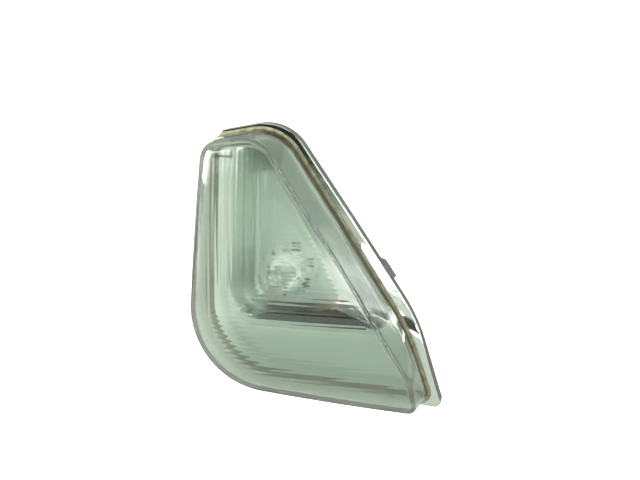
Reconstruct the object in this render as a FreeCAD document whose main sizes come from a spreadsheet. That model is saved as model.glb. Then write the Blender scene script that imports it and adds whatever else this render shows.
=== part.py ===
import FreeCAD, Part
import math
import os
import Sketcher
from FreeCAD import Placement, Rotation, Vector

# Mirror turn signal lamp, in millimetres. X is to the right seen from the front, Z is up and
# Y runs to the back. The origin is where the bulb's axis meets the front plane of the flange,
# which bears on the inside of the mirror's cover. The clear lens stands out to -Y, and the
# reflector housing, the bulb holder and its connector lie to +Y.

os.makedirs("parts", exist_ok=True)
doc = FreeCAD.newDocument("mirror_turn_signal_lamp")
sheet = doc.addObject("Spreadsheet::Sheet", "Sizes")

# Outlines are named corners, clockwise from the front: X, Z and the radius that rounds each.
SIZES = {
    # outline of the lens wall where it meets the flange
    "foot_top_left_x": -30.6, "foot_top_left_z": 63.0, "foot_top_left_round": 9.0,
    "foot_top_right_x": 1.4, "foot_top_right_z": 69.3, "foot_top_right_round": 20.0,
    "foot_middle_x": 30.8, "foot_middle_z": 24.3, "foot_middle_round": 500.0,
    "foot_bend_x": 59.5, "foot_bend_z": -21.1, "foot_bend_round": 90.0,
    "foot_bottom_right_x": 70.5, "foot_bottom_right_z": -53.3, "foot_bottom_right_round": 3.5,
    "foot_bottom_left_x": -36.9, "foot_bottom_left_z": -44.5, "foot_bottom_left_round": 37.0,
    # outline of the same wall carried on to the plane in front of the domed face
    "face_top_left_x": -29.8, "face_top_left_z": 62.5, "face_top_left_round": 9.0,
    "face_top_right_x": -1.0, "face_top_right_z": 66.0, "face_top_right_round": 18.0,
    "face_middle_x": 38.8, "face_middle_z": 8.8, "face_middle_round": 400.0,
    "face_bend_x": 67.2, "face_bend_z": -41.0, "face_bend_round": 5.0,
    "face_bottom_right_x": 67.3, "face_bottom_right_z": -52.0, "face_bottom_right_round": 3.5,
    "face_bottom_left_x": -35.3, "face_bottom_left_z": -42.5, "face_bottom_left_round": 35.0,
    # outline of the flange
    "rim_top_left_x": -32.3, "rim_top_left_z": 64.7, "rim_top_left_round": 10.0,
    "rim_top_right_x": 3.4, "rim_top_right_z": 71.8, "rim_top_right_round": 21.0,
    "rim_middle_x": 33.4, "rim_middle_z": 28.4, "rim_middle_round": 500.0,
    "rim_bend_x": 62.8, "rim_bend_z": -15.4, "rim_bend_round": 80.0,
    "rim_bottom_right_x": 75.4, "rim_bottom_right_z": -56.2, "rim_bottom_right_round": 2.5,
    "rim_bottom_left_x": -38.6, "rim_bottom_left_z": -46.3, "rim_bottom_left_round": 38.5,
    # mouth and floor of the reflector bowl
    "mouth_top_left_x": -18.9, "mouth_top_left_z": 60.0, "mouth_top_left_round": 6.0,
    "mouth_top_right_x": -1.0, "mouth_top_right_z": 63.4, "mouth_top_right_round": 15.0,
    "mouth_bottom_right_x": 53.2, "mouth_bottom_right_z": -21.2, "mouth_bottom_right_round": 4.0,
    "mouth_bottom_left_x": -24.2, "mouth_bottom_left_z": -19.6, "mouth_bottom_left_round": 15.0,
    "floor_top_left_x": -15.0, "floor_top_left_z": 45.0, "floor_top_left_round": 3.0,
    "floor_top_right_x": -6.5, "floor_top_right_z": 45.5, "floor_top_right_round": 3.0,
    "floor_bottom_right_x": 25.6, "floor_bottom_right_z": -15.2, "floor_bottom_right_round": 4.0,
    "floor_bottom_left_x": -18.2, "floor_bottom_left_z": -19.0, "floor_bottom_left_round": 12.0,
    # lens
    "lens_depth": 31.5, "dome_radius": 400.0, "dome_centre_x": 28.0, "dome_centre_z": 8.0,
    "face_lead": 2.5, "lens_wall": 2.4, "lens_face_wall": 2.6, "edge_round": 8.0, "ridge_round": 2.0,
    "inner_ridge_round": 0.6, "least_round": 0.5,
    "foot_sink": 1.4, "flute_pitch": 2.2, "flute_rise": 0.25, "flute_margin": 4.0,
    "flute_root": 0.1, "flute_bury": 0.6,
    "mitre_x": 10.5, "mitre_z": 38.2, "mitre_angle": 54.0,
    # reflector housing
    "flange_thickness": 2.2, "skirt_depth": 6.0, "skirt_wall": 1.6, "rim_edge_round": 0.7,
    "sealant_gap": 1.6, "sealant_proud": 0.9, "channel_depth": 1.8, "channel_wall": 1.5,
    "bowl_depth": 20.0, "bowl_wall": 2.0,
    "latch_x": 48.5, "latch_z": 6.2, "latch_length": 11.0, "latch_ramp": 2.4, "latch_rise": 1.8,
    "latch_front": 1.0, "latch_width": 4.2, "tail_gap": 2.9,
    "bore_radius": 9.0, "collar_gap": 0.4, "collar_wall": 1.6, "collar_depth": 4.0,
    "notch_count": 3, "notch_play": 0.4, "lug_gap": 0.3, "lug_reach": 1.9, "lock_turn": 45.0,
    "stop_width": 1.6, "stop_height": 2.2,
    "boss_x": 20.0, "boss_z": -35.0, "boss_radius": 4.0, "boss_length": 11.0,
    "pilot_radius": 1.6, "pilot_depth": 8.0,
    "peg_x": 50.0, "peg_z": -38.0, "peg_radius": 2.2, "peg_length": 9.0, "peg_lead": 0.8,
    "rib_count": 4, "rib_first_x": -8.0, "rib_pitch": 13.0, "rib_thickness": 1.5, "rib_height": 3.4,
    "rib_top_z": -16.0, "rib_bottom_z": -42.0,
    # bulb holder
    "holder_fit": 0.06, "socket_front": 11.0, "socket_radius": 7.4,
    "lug_width": 4.2, "lug_height": 2.0, "lug_root": 1.5,
    "gasket_thickness": 1.6, "gasket_gap": 0.3,
    "holder_flange_radius": 12.4, "holder_flange_thickness": 2.2, "neck_radius": 8.0, "neck_length": 7.0,
    "wing_length": 23.0, "wing_width": 3.2, "wing_height": 5.6,
    "shroud_width": 18.0, "shroud_height": 11.0, "shroud_length": 10.0, "shroud_wall": 1.7,
    "shroud_floor": 1.5,
    # terminals
    "contact_width": 3.0, "contact_thickness": 0.5, "contact_inset": 1.0, "contact_start": 1.0,
    "contact_length": 12.0, "bridge_height": 1.6,
    "blade_width": 2.8, "blade_thickness": 0.8, "blade_spacing": 8.0, "blade_length": 8.0,
    # bulb
    "bulb_radius": 5.1, "bulb_glass": 0.7, "bulb_length": 20.5, "bulb_taper": 4.5, "bulb_neck_radius": 3.8,
    "pinch_width": 9.5, "pinch_thickness": 4.4, "pinch_length": 10.0, "pinch_gap": 0.3,
    "lead_radius": 0.3, "lead_spacing": 4.4, "lead_length": 9.0, "filament_radius": 0.5,
}
for row, (name, value) in enumerate(SIZES.items(), start=1):
    sheet.set("A%d" % row, name)
    sheet.set("B%d" % row, str(value))
    sheet.setAlias("B%d" % row, name)
doc.recompute()


def size(name):
    return float(sheet.get(name))


FRONT_CORNERS = ["top_left", "top_right", "middle", "bend", "bottom_right", "bottom_left"]
BOWL_CORNERS = ["top_left", "top_right", "bottom_right", "bottom_left"]


def corners(prefix, names):
    return [(size("%s_%s_x" % (prefix, n)), size("%s_%s_z" % (prefix, n))) for n in names]


def rounds(prefix, names):
    return [size("%s_%s_round" % (prefix, n)) for n in names]


def direction(start, end):
    length = math.hypot(end[0] - start[0], end[1] - start[1])
    return ((end[0] - start[0]) / length, (end[1] - start[1]) / length)


def inset(points, distance):
    # moves every side of a clockwise outline inwards by one distance
    sides = []
    for i, start in enumerate(points):
        along = direction(start, points[(i + 1) % len(points)])
        sides.append((start[0] + along[1] * distance, start[1] - along[0] * distance, along))
    moved = []
    for i in range(len(points)):
        ax, az, a = sides[i - 1]
        bx, bz, b = sides[i]
        reach = ((bx - ax) * b[1] - (bz - az) * b[0]) / (a[0] * b[1] - a[1] * b[0])
        moved.append((ax + a[0] * reach, az + a[1] * reach))
    return moved


def outline(prefix, names, depth, distance=0.0):
    # closed wire at one depth, its sides moved inwards and its corners rounded by tangent arcs
    points = inset(corners(prefix, names), distance)
    radii = [max(r - distance, size("least_round")) for r in rounds(prefix, names)]
    arcs = []
    for i, corner in enumerate(points):
        into = direction(points[i - 1], corner)
        out = direction(corner, points[(i + 1) % len(points)])
        half_turn = math.acos(into[0] * out[0] + into[1] * out[1]) / 2
        tangent = radii[i] * math.tan(half_turn)
        towards = direction((0, 0), (out[0] - into[0], out[1] - into[1]))
        crown = radii[i] / math.cos(half_turn) - radii[i]
        arcs.append([Vector(corner[0] - into[0] * tangent, depth, corner[1] - into[1] * tangent),
                     Vector(corner[0] + towards[0] * crown, depth, corner[1] + towards[1] * crown),
                     Vector(corner[0] + out[0] * tangent, depth, corner[1] + out[1] * tangent)])
    edges = []
    for i, arc in enumerate(arcs):
        edges.append(Part.Arc(*arc).toShape())
        edges.append(Part.LineSegment(arc[2], arcs[(i + 1) % len(arcs)][0]).toShape())
    return Part.Wire(edges)


def prism(wire, length):
    return Part.Face(wire).extrude(Vector(0, length, 0))


def feature(name, shape):
    made = doc.addObject("Part::Feature", name)
    made.Shape = shape
    return made


ALONG_Y = Rotation(Vector(1, 0, 0), -90)


def cylinder(name, radius, height, start, x="0", z="0"):
    # a cylinder along the bulb's axis, its sizes bound to the sheet
    made = doc.addObject("Part::Cylinder", name)
    made.setExpression("Radius", radius)
    made.setExpression("Height", height)
    made.Placement = Placement(Vector(0, 0, 0), ALONG_Y)
    made.setExpression("Placement.Base.x", x)
    made.setExpression("Placement.Base.y", start)
    made.setExpression("Placement.Base.z", z)
    return made


def box(name, length, height, depth, x, y, z):
    # a box by its sizes along X, Z and Y and its low corner, bound to the sheet
    made = doc.addObject("Part::Box", name)
    made.setExpression("Length", length)
    made.setExpression("Width", depth)
    made.setExpression("Height", height)
    made.setExpression("Placement.Base.x", x)
    made.setExpression("Placement.Base.y", y)
    made.setExpression("Placement.Base.z", z)
    return made


def cut(name, base, tool):
    made = doc.addObject("Part::Cut", name)
    made.Base = base
    made.Tool = tool
    return made


def fuse(name, pieces):
    made = doc.addObject("Part::MultiFuse", name)
    made.Shapes = pieces
    return made


def finish(made, name):
    made.Label = name
    nodes.append(made)
    return made


nodes = []

# Lens

dome_centre = Vector(size("dome_centre_x"), size("dome_radius") - size("lens_depth"), size("dome_centre_z"))
face_front = -size("lens_depth") - size("face_lead")
foot_x = [x for x, z in corners("foot", FRONT_CORNERS)]
foot_z = [z for x, z in corners("foot", FRONT_CORNERS)]
WIDE = max(foot_x) - min(foot_x) + max(foot_z) - min(foot_z)  # reaches past the lamp on every side
TOUCH = 1e-6


def domed_block(distance, dome_radius, back):
    # the lens wall as a ruled loft from foot to face plane, cut off in front by the domed face
    loft = Part.makeLoft([outline("foot", FRONT_CORNERS, back, distance),
                          outline("face", FRONT_CORNERS, face_front, distance)], True, True)
    near = Part.makeBox(2 * WIDE, WIDE, 2 * WIDE, Vector(-WIDE, -WIDE + 2 * back, -WIDE))
    return loft.common(Part.makeSphere(dome_radius, dome_centre).common(near)).Solids[0]


def rounded(name, block, edge_round, ridge_round):
    # rounds the domed face's edge: wide at the left, top and bottom, tight along the slanting side
    base = feature(name + "_block", block)
    wire = outline("face", FRONT_CORNERS, 0)
    centres = [edge.CenterOfMass for edge in wire.Edges]
    tight = {side: (ridge_round, ridge_round) for side in range(3, 9)}
    tight[2] = (ridge_round, edge_round)
    tight[9] = (edge_round, ridge_round)
    domed = [face for face in block.Faces if isinstance(face.Surface, Part.Sphere)]
    radii = []
    for number, edge in enumerate(block.Edges, start=1):
        if any(edge.isSame(other) for face in domed for other in face.Edges):
            middle = edge.CenterOfMass
            nearest = min(range(len(centres)),
                          key=lambda i: math.hypot(middle.x - centres[i].x, middle.z - centres[i].z))
            radii.append((number,) + tight.get(nearest, (edge_round, edge_round)))
    made = doc.addObject("Part::Fillet", name)
    made.Base = base
    made.Edges = radii
    return made


def flutes(axis, span_low, span_high, sweep_low, sweep_high):
    # ribs side by side on the inner face: a profile of shallow prisms turned about an axis through
    # the dome's centre, so that each rib follows the dome
    inner = size("dome_radius") - size("lens_face_wall")
    root = inner - size("flute_root")
    crest = root - size("flute_rise")
    step = size("flute_pitch") / inner
    buried = inner + size("flute_bury")
    climb = Vector(0, 0, 1) if axis == "z" else Vector(1, 0, 0)

    def at(radius, angle):
        return dome_centre + Vector(0, -radius * math.cos(angle), 0) + climb * (radius * math.sin(angle))

    count = int(math.ceil((span_high - span_low) / size("flute_pitch")))
    start = span_low / inner
    edges = []
    for i in range(count):
        low = start + i * step
        edges.append(Part.LineSegment(at(root, low), at(crest, low + step / 2)).toShape())
        edges.append(Part.LineSegment(at(crest, low + step / 2), at(root, low + step)).toShape())
    end = start + count * step
    edges.append(Part.LineSegment(at(root, end), at(buried, end)).toShape())
    edges.append(Part.Arc(at(buried, end), at(buried, (start + end) / 2), at(buried, start)).toShape())
    edges.append(Part.LineSegment(at(buried, start), at(root, start)).toShape())
    face = Part.Face(Part.Wire(edges))
    sign = 1 if axis == "z" else -1
    face.rotate(dome_centre, climb, math.degrees(sign * sweep_low / inner))
    return face.revolve(dome_centre, climb * sign, math.degrees((sweep_high - sweep_low) / inner))


lens_outer = rounded("lens_outer", domed_block(0.0, size("dome_radius"), size("foot_sink")),
                     size("edge_round"), size("ridge_round"))
lens_core = rounded("lens_core", domed_block(size("lens_wall"), size("dome_radius") - size("lens_face_wall"),
                                             size("foot_sink")),
                    size("edge_round") - size("lens_wall"), size("inner_ridge_round"))
lens_shell = cut("lens_shell", lens_outer, lens_core)

# the ribs run upright above a mitre line and level below it, inside a plain margin
margin = size("lens_wall") + size("flute_margin")
field = prism(outline("face", FRONT_CORNERS, face_front, margin), -face_front)
slope = math.radians(size("mitre_angle"))
along = Vector(math.cos(slope), 0, math.sin(slope)) * WIDE
beside = Vector(math.sin(slope), 0, -math.cos(slope)) * WIDE
mitre = Vector(size("mitre_x"), face_front, size("mitre_z"))
below = prism(Part.makePolygon([mitre - along, mitre + along, mitre + along + beside,
                                mitre - along + beside, mitre - along]), -face_front)
reach_x = [x - size("dome_centre_x") for x, z in corners("face", FRONT_CORNERS)]
reach_z = [z - size("dome_centre_z") for x, z in corners("face", FRONT_CORNERS)]
level_ribs = flutes("z", min(reach_z), max(reach_z), min(reach_x), max(reach_x))
upright_ribs = flutes("x", min(reach_x), max(reach_x), min(reach_z), max(reach_z))
ribs = level_ribs.common(field).common(below).fuse(upright_ribs.common(field).cut(below))
finish(fuse("lens_whole", [lens_shell, feature("lens_ribs", ribs)]), "lens")

# Sealant between the lens foot and its channel

channel = prism(outline("foot", FRONT_CORNERS, 0, -size("sealant_gap")), size("channel_depth")).cut(
    prism(outline("foot", FRONT_CORNERS, 0, size("lens_wall") + size("sealant_gap")), size("channel_depth")))
sealant_proud = size("sealant_proud")
proud = prism(outline("foot", FRONT_CORNERS, -sealant_proud, -size("sealant_gap")), sealant_proud).cut(
    prism(outline("foot", FRONT_CORNERS, -sealant_proud, size("lens_wall") / 2), sealant_proud))
sealant_block = feature("sealant_block", channel.fuse(proud).removeSplitter())
finish(cut("sealant", sealant_block, lens_shell), "sealant_bead")

# Reflector housing: flange with its channel and skirt, reflector bowl, collar, latch, boss and peg

flange_thickness = size("flange_thickness")
flange = prism(outline("rim", FRONT_CORNERS, 0), flange_thickness)
front_edges = [edge for edge in flange.Edges if abs(edge.BoundBox.YMax) < TOUCH]
flange = flange.makeFillet(size("rim_edge_round"), front_edges)
skirt = prism(outline("rim", FRONT_CORNERS, size("rim_edge_round")),
              size("skirt_depth") - size("rim_edge_round")).cut(
    prism(outline("rim", FRONT_CORNERS, 0, size("skirt_wall")), size("skirt_depth")))
tail_x, tail_z = corners("rim", ["bottom_right"])[0]
tail_room = size("tail_gap") + size("rim_bottom_right_round")
tail_corner = Vector(tail_x - tail_room, flange_thickness, tail_z + size("tail_gap") - WIDE)
skirt = skirt.cut(Part.makeBox(tail_room + WIDE, size("skirt_depth"), WIDE, tail_corner))
channel_back = prism(outline("foot", FRONT_CORNERS, 0, -size("sealant_gap") - size("channel_wall")),
                     size("channel_depth") + size("channel_wall")).cut(
    prism(outline("foot", FRONT_CORNERS, 0,
                  size("lens_wall") + size("sealant_gap") + size("channel_wall")), WIDE))


def bowl(distance, back):
    # the tapering bowl as a ruled loft from its mouth to its floor
    return Part.makeLoft([outline("mouth", BOWL_CORNERS, 0, distance),
                          outline("floor", BOWL_CORNERS, back, distance)], True, True)


bowl_back = size("bowl_depth") + size("bowl_wall")
shell = flange.fuse([skirt, channel_back.common(prism(outline("rim", FRONT_CORNERS, 0), WIDE)),
                     bowl(-size("bowl_wall"), bowl_back)])
shell = shell.cut([bowl(0.0, size("bowl_depth")), channel])

# latch on the slanting side of the skirt: a ramp at its upper end and a square step at its lower end
side = direction(*corners("rim", ["middle", "bend"]))
outward = (-side[1], side[0])


def latch_corner(run, rise):
    return Vector(size("latch_x") + side[0] * run + outward[0] * rise, size("latch_front"),
                  size("latch_z") + side[1] * run + outward[1] * rise)


rim_x, rim_z = corners("rim", ["middle"])[0]
skirt_line = (rim_x - size("latch_x")) * outward[0] + (rim_z - size("latch_z")) * outward[1]
half = size("latch_length") / 2
latch = prism(Part.makePolygon([
    latch_corner(-half, skirt_line - size("skirt_wall")), latch_corner(-half, skirt_line),
    latch_corner(-half + size("latch_ramp"), skirt_line + size("latch_rise")),
    latch_corner(half, skirt_line + size("latch_rise")), latch_corner(half, skirt_line - size("skirt_wall")),
    latch_corner(-half, skirt_line - size("skirt_wall"))]), size("latch_width"))

COLLAR_INNER = "Sizes.holder_flange_radius + Sizes.collar_gap"
collar = cylinder("collar", COLLAR_INNER + " + Sizes.collar_wall", "Sizes.bowl_wall + Sizes.collar_depth",
                  "Sizes.bowl_depth")
collar_room = cylinder("collar_room", COLLAR_INNER, "Sizes.collar_depth",
                       "Sizes.bowl_depth + Sizes.bowl_wall")
bore = cylinder("bore", "Sizes.bore_radius", "Sizes.bowl_depth + Sizes.bowl_wall", "0")
boss = cylinder("boss", "Sizes.boss_radius", "Sizes.boss_length", "Sizes.flange_thickness",
                "Sizes.boss_x", "Sizes.boss_z")
pilot = cylinder("pilot", "Sizes.pilot_radius", "Sizes.pilot_depth",
                 "Sizes.flange_thickness + Sizes.boss_length - Sizes.pilot_depth",
                 "Sizes.boss_x", "Sizes.boss_z")
peg = cylinder("peg", "Sizes.peg_radius", "Sizes.peg_length", "Sizes.flange_thickness",
               "Sizes.peg_x", "Sizes.peg_z")
peg_tip = doc.addObject("Part::Cone", "peg_tip")
peg_tip.setExpression("Radius1", "Sizes.peg_radius")
peg_tip.setExpression("Radius2", "Sizes.peg_radius - Sizes.peg_lead")
peg_tip.setExpression("Height", "Sizes.peg_lead")
peg_tip.Placement = Placement(Vector(0, 0, 0), ALONG_Y)
peg_tip.setExpression("Placement.Base.x", "Sizes.peg_x")
peg_tip.setExpression("Placement.Base.y", "Sizes.flange_thickness + Sizes.peg_length")
peg_tip.setExpression("Placement.Base.z", "Sizes.peg_z")
back_ribs = [box("back_rib_%d" % (i + 1), "Sizes.rib_thickness", "Sizes.rib_top_z - Sizes.rib_bottom_z",
                 "Sizes.rib_height", "Sizes.rib_first_x + %d * Sizes.rib_pitch" % i, "Sizes.flange_thickness",
                 "Sizes.rib_bottom_z") for i in range(int(size("rib_count")))]

# each notch lets a lug of the bulb holder through after the holder has been turned by lock_turn,
# and each stop holds the lug at its locked place
notches = []
stops = []
for i in range(int(size("notch_count"))):
    step = 360.0 * i / size("notch_count")
    notch = box("notch_%d" % (i + 1), "Sizes.bore_radius + Sizes.lug_reach + Sizes.lug_gap",
                "Sizes.lug_width + 2 * Sizes.notch_play", "Sizes.bowl_depth + Sizes.bowl_wall", "0", "0",
                "-Sizes.lug_width / 2 - Sizes.notch_play")
    stop = box("stop_%d" % (i + 1), "Sizes.lug_reach", "Sizes.stop_width",
               "Sizes.stop_height + Sizes.bowl_wall / 2",
               "Sizes.bore_radius + Sizes.lug_gap", "Sizes.bowl_depth - Sizes.stop_height",
               "Sizes.lug_width / 2 + Sizes.lug_gap")
    doc.recompute()
    for piece, turn, group in ((notch, step + size("lock_turn"), notches), (stop, step, stops)):
        turned = feature(piece.Name + "_turned", piece.Shape.copy())
        turned.Placement = Placement(Vector(), Rotation(Vector(0, 1, 0), turn)) * piece.Placement
        group.append(turned)
housing_solid = fuse("housing_solid", [feature("housing_shell", shell), feature("latch", latch),
                                       collar, boss, peg, peg_tip] + back_ribs)
bowl_room = feature("bowl_room", bowl(0.0, size("bowl_depth")))
housing_rooms = fuse("housing_rooms", [collar_room, bore, pilot, bowl_room] + notches)
housing_open = cut("housing_open", housing_solid, housing_rooms)
finish(fuse("housing", [housing_open] + stops), "reflector_housing")


# Turned and moulded bodies on the bulb's axis, modelled with Z along that axis

def axial_body(name):
    made = doc.addObject("PartDesign::Body", name)
    made.Placement = Placement(Vector(0, 0, 0), ALONG_Y)
    return made


def plane(body, role):
    return next(item for item in body.Origin.OriginFeatures if item.Role == role)


def sketch_on(body, name, role, height=None):
    made = body.newObject("Sketcher::SketchObject", name)
    made.AttachmentSupport = (plane(body, role), "")
    made.MapMode = "FlatFace"
    if height:
        made.setExpression(".AttachmentOffset.Base.z", height)
    return made


def profile(sketch, points):
    # closed outline through corners given as two expressions each, every corner held to the sheet
    # by its distances from the sketch origin
    values = [(float(sketch.evalExpression(u)), float(sketch.evalExpression(v))) for u, v in points]
    count = len(values)
    for i, (u, v) in enumerate(values):
        nu, nv = values[(i + 1) % count]
        sketch.addGeometry(Part.LineSegment(Vector(u, v, 0), Vector(nu, nv, 0)), False)
    for i in range(count):
        sketch.addConstraint(Sketcher.Constraint("Coincident", i, 2, (i + 1) % count, 1))
    for i, (u, v) in enumerate(points):
        for kind, expression, value in (("DistanceX", u, values[i][0]), ("DistanceY", v, values[i][1])):
            number = sketch.addConstraint(Sketcher.Constraint(kind, -1, 1, i, 1, value))
            sketch.setExpression("Constraints[%d]" % number, expression)


def rectangle(sketch, half_u, half_v):
    profile(sketch, [("-(%s)" % half_u, "-(%s)" % half_v), (half_u, "-(%s)" % half_v),
                     (half_u, half_v), ("-(%s)" % half_u, half_v)])


# Bulb holder: a turned plug with lugs, a flange, two grip wings and the connector shroud

PLUG_FRONT = "Sizes.bowl_depth - Sizes.lug_gap - Sizes.lug_height"
PLUG_RADIUS = "Sizes.bore_radius - Sizes.holder_fit"
FLANGE_FRONT = "Sizes.bowl_depth + Sizes.bowl_wall + Sizes.gasket_thickness"
FLANGE_BACK = FLANGE_FRONT + " + Sizes.holder_flange_thickness"
NECK_END = FLANGE_BACK + " + Sizes.neck_length"

body = axial_body("holder_body")
turned = sketch_on(body, "holder_profile", "XZ_Plane")
profile(turned, [("0", "Sizes.socket_front"), ("Sizes.socket_radius", "Sizes.socket_front"),
                 ("Sizes.socket_radius", PLUG_FRONT), (PLUG_RADIUS, PLUG_FRONT), (PLUG_RADIUS, FLANGE_FRONT),
                 ("Sizes.holder_flange_radius", FLANGE_FRONT), ("Sizes.holder_flange_radius", FLANGE_BACK),
                 ("Sizes.neck_radius", FLANGE_BACK), ("Sizes.neck_radius", NECK_END), ("0", NECK_END)])
revolved = body.newObject("PartDesign::Revolution", "holder_turned")
revolved.Profile = turned
revolved.ReferenceAxis = (turned, ["V_Axis"])
revolved.Angle = 360.0
doc.recompute()


def pad(body, name, height, half_u, half_v, length, shift_u=None):
    base = sketch_on(body, name + "_sketch", "XY_Plane", height)
    if shift_u:
        base.setExpression(".AttachmentOffset.Base.x", shift_u)
    rectangle(base, half_u, half_v)
    made = body.newObject("PartDesign::Pad", name)
    made.Profile = base
    made.setExpression("Length", length)
    doc.recompute()
    return made


def pocket(body, name, height, half_u, half_v, depth):
    base = sketch_on(body, name + "_sketch", "XY_Plane", height)
    rectangle(base, half_u, half_v)
    made = body.newObject("PartDesign::Pocket", name)
    made.Profile = base
    made.Reversed = True
    before = body.Shape.Volume
    made.setExpression("Length", depth)
    doc.recompute()
    if body.Shape.Volume >= before:
        raise RuntimeError(name + " cuts nothing")
    return made


lug_half = "(Sizes.lug_reach + Sizes.lug_root) / 2"
lug = pad(body, "lug", PLUG_FRONT, lug_half, "Sizes.lug_width / 2", "Sizes.lug_height",
          "Sizes.bore_radius + Sizes.lug_reach - " + lug_half)
lugs = body.newObject("PartDesign::PolarPattern", "lugs")
lugs.Originals = [lug]
lugs.Axis = (plane(body, "Z_Axis"), [""])
lugs.Angle = 360.0
lugs.setExpression("Occurrences", "Sizes.notch_count")
body.Tip = lugs
doc.recompute()
pad(body, "wings", FLANGE_BACK, "Sizes.wing_length / 2", "Sizes.wing_width / 2", "Sizes.wing_height")
pad(body, "shroud", NECK_END, "Sizes.shroud_width / 2", "Sizes.shroud_height / 2", "Sizes.shroud_length")
pocket(body, "plug_room", NECK_END + " + Sizes.shroud_floor", "Sizes.shroud_width / 2 - Sizes.shroud_wall",
       "Sizes.shroud_height / 2 - Sizes.shroud_wall", "Sizes.shroud_length - Sizes.shroud_floor")
pocket(body, "bulb_slot", "Sizes.socket_front", "Sizes.pinch_width / 2 + Sizes.pinch_gap",
       "Sizes.pinch_thickness / 2 + Sizes.pinch_gap", "Sizes.pinch_length + Sizes.pinch_gap")

# Terminals: each is one stamping with a spring strip beside the bulb's base, a bridge and a blade

CONTACT_Y = "Sizes.socket_front + Sizes.contact_start"
BRIDGE_Y = CONTACT_Y + " + Sizes.contact_length"
STRIP_Z = "(Sizes.pinch_thickness / 2 + Sizes.pinch_gap)"
terminals = []
for name, hand in (("left", -1), ("right", 1)):
    def place(near, wide):
        return near if hand > 0 else "-(%s) - (%s)" % (near, wide)

    strip = box("strip_" + name, "Sizes.contact_width", "Sizes.contact_thickness", "Sizes.contact_length",
                place("Sizes.contact_inset", "Sizes.contact_width"), CONTACT_Y,
                place(STRIP_Z, "Sizes.contact_thickness"))
    blade_x = "Sizes.blade_spacing / 2 - Sizes.blade_width / 2"
    blade = box("blade_" + name, "Sizes.blade_width", "Sizes.blade_thickness",
                "(%s) + Sizes.shroud_floor + Sizes.blade_length - (%s)" % (NECK_END, BRIDGE_Y),
                place(blade_x, "Sizes.blade_width"), BRIDGE_Y, "-Sizes.blade_thickness / 2")
    bridge_width = "Sizes.blade_spacing / 2 + Sizes.blade_width / 2 - Sizes.contact_inset"
    bridge_tall = STRIP_Z + " + Sizes.contact_thickness + Sizes.blade_thickness / 2"
    bridge = box("bridge_" + name, bridge_width, bridge_tall, "Sizes.bridge_height",
                 place("Sizes.contact_inset", bridge_width), BRIDGE_Y,
                 place("-Sizes.blade_thickness / 2", bridge_tall))
    terminals.append(finish(fuse("terminal_" + name, [strip, blade, bridge]), "terminal_" + name))
finish(cut("holder", body, fuse("terminal_rooms", terminals)), "bulb_holder")

# Gasket between the holder's flange and the back of the bowl

GASKET_FRONT = "Sizes.bowl_depth + Sizes.bowl_wall"
GASKET_INNER = PLUG_RADIUS + " + Sizes.gasket_gap"
gasket_disc = cylinder("gasket_disc", "Sizes.holder_flange_radius", "Sizes.gasket_thickness", GASKET_FRONT)
gasket_hole = cylinder("gasket_hole", GASKET_INNER, "Sizes.gasket_thickness", GASKET_FRONT)
finish(cut("gasket", gasket_disc, gasket_hole), "holder_gasket")

# Bulb: a hollow glass with a flat pinch in the holder's slot, two leads and a filament

BULB_END = "Sizes.socket_front - Sizes.pinch_gap"
TAPER_START = BULB_END + " - Sizes.bulb_taper"
CROWN = BULB_END + " - Sizes.bulb_length + Sizes.bulb_radius"


def capsule(name, thinner, end):
    # ball, barrel and tapered neck of the glass, all thinner by one wall for the hollow
    radius = "Sizes.bulb_radius - " + thinner
    crown = doc.addObject("Part::Sphere", name + "_crown")
    crown.setExpression("Radius", radius)
    crown.Placement = Placement(Vector(0, 0, 0), ALONG_Y)
    crown.setExpression("Placement.Base.y", CROWN)
    barrel = cylinder(name + "_barrel", radius, "%s - (%s)" % (TAPER_START, CROWN), CROWN)
    neck = doc.addObject("Part::Cone", name + "_neck")
    neck.setExpression("Radius1", radius)
    neck.setExpression("Radius2", "Sizes.bulb_neck_radius - " + thinner)
    neck.setExpression("Height", "Sizes.bulb_taper - " + end)
    neck.Placement = Placement(Vector(0, 0, 0), ALONG_Y)
    neck.setExpression("Placement.Base.y", TAPER_START)
    return fuse(name, [crown, barrel, neck])


pinch = box("pinch", "Sizes.pinch_width", "Sizes.pinch_thickness", "Sizes.pinch_length + 2 * Sizes.pinch_gap",
            "-Sizes.pinch_width / 2", "%s - Sizes.pinch_gap" % BULB_END, "-Sizes.pinch_thickness / 2")
bulb_outside = fuse("bulb_outside", [capsule("glass", "0", "0"), pinch])
finish(cut("bulb", bulb_outside, capsule("hollow", "Sizes.bulb_glass", "Sizes.bulb_glass")), "bulb_glass")
LEAD_START = BULB_END + " - Sizes.bulb_glass - Sizes.lead_length"
for name, hand in (("left", "-"), ("right", "")):
    finish(cylinder("lead_" + name, "Sizes.lead_radius", "Sizes.lead_length", LEAD_START,
                    hand + "Sizes.lead_spacing / 2"), "bulb_lead_" + name)
filament = doc.addObject("Part::Cylinder", "filament")
filament.setExpression("Radius", "Sizes.filament_radius")
filament.setExpression("Height", "Sizes.lead_spacing - 2 * Sizes.lead_radius")
filament.Placement = Placement(Vector(0, 0, 0), Rotation(Vector(0, 1, 0), 90))
filament.setExpression("Placement.Base.x", "Sizes.lead_radius - Sizes.lead_spacing / 2")
filament.setExpression("Placement.Base.y", "%s + Sizes.filament_radius" % LEAD_START)
finish(filament, "bulb_filament")

# Every object is checked before anything is written

doc.recompute()
for made in doc.Objects:
    if "Invalid" in made.State or "Error" in made.State:
        raise RuntimeError("%s failed to build" % made.Name)
for made in nodes:
    if made.Shape.isNull() or not made.Shape.isValid():
        raise RuntimeError("%s has no valid shape" % made.Label)
for made in nodes:
    made.Shape.exportStep("parts/%s.step" % made.Label)
    print(made.Label, round(made.Shape.Volume, 1), "mm3,", len(made.Shape.Solids), "solid,",
          len(made.Shape.Faces), "faces")
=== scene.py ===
import math

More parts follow.
